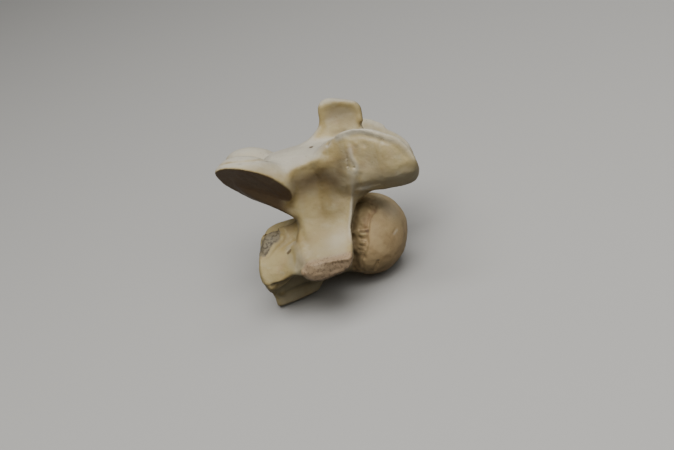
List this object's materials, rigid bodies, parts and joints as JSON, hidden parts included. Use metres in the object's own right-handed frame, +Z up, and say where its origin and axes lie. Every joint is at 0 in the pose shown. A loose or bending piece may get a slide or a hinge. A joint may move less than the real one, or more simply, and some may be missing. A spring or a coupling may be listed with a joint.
{
  "type": "cattle neck vertebra",
  "caption": "Dry neck vertebra of domestic cattle, with a ball-shaped head, a socket at the tail end, a canal for the spinal cord and winged joint processes, lying as it rests.",
  "frame": {"origin": "centre of the bounding box's underside, on the surface the bone lies on", "axes": "+X towards the animal's skull, +Y towards the animal's left, +Z up; the bone is pitched 3.5 degrees and rolled 17.5 degrees to its left from the animal's own upright, because it lies so"},
  "size_m": [0.1086, 0.107, 0.1006],
  "materials": {
    "bone": null,
    "bone_head": "dry bone under old cartilage, tan brown, matt"
  },
  "bodies": {
    "root": {"head": "bone_head", "neural_spine": "bone", "cranial_articular_process_right": "bone", "cranial_articular_process_left": "bone", "caudal_articular_process_right": "bone", "caudal_articular_process_left": "bone", "transverse_process_right": "bone", "transverse_process_left": "bone", "ventral_crest": "bone", "vertebral_arch": "bone", "centrum": "bone"}
  },
  "joints": []
}
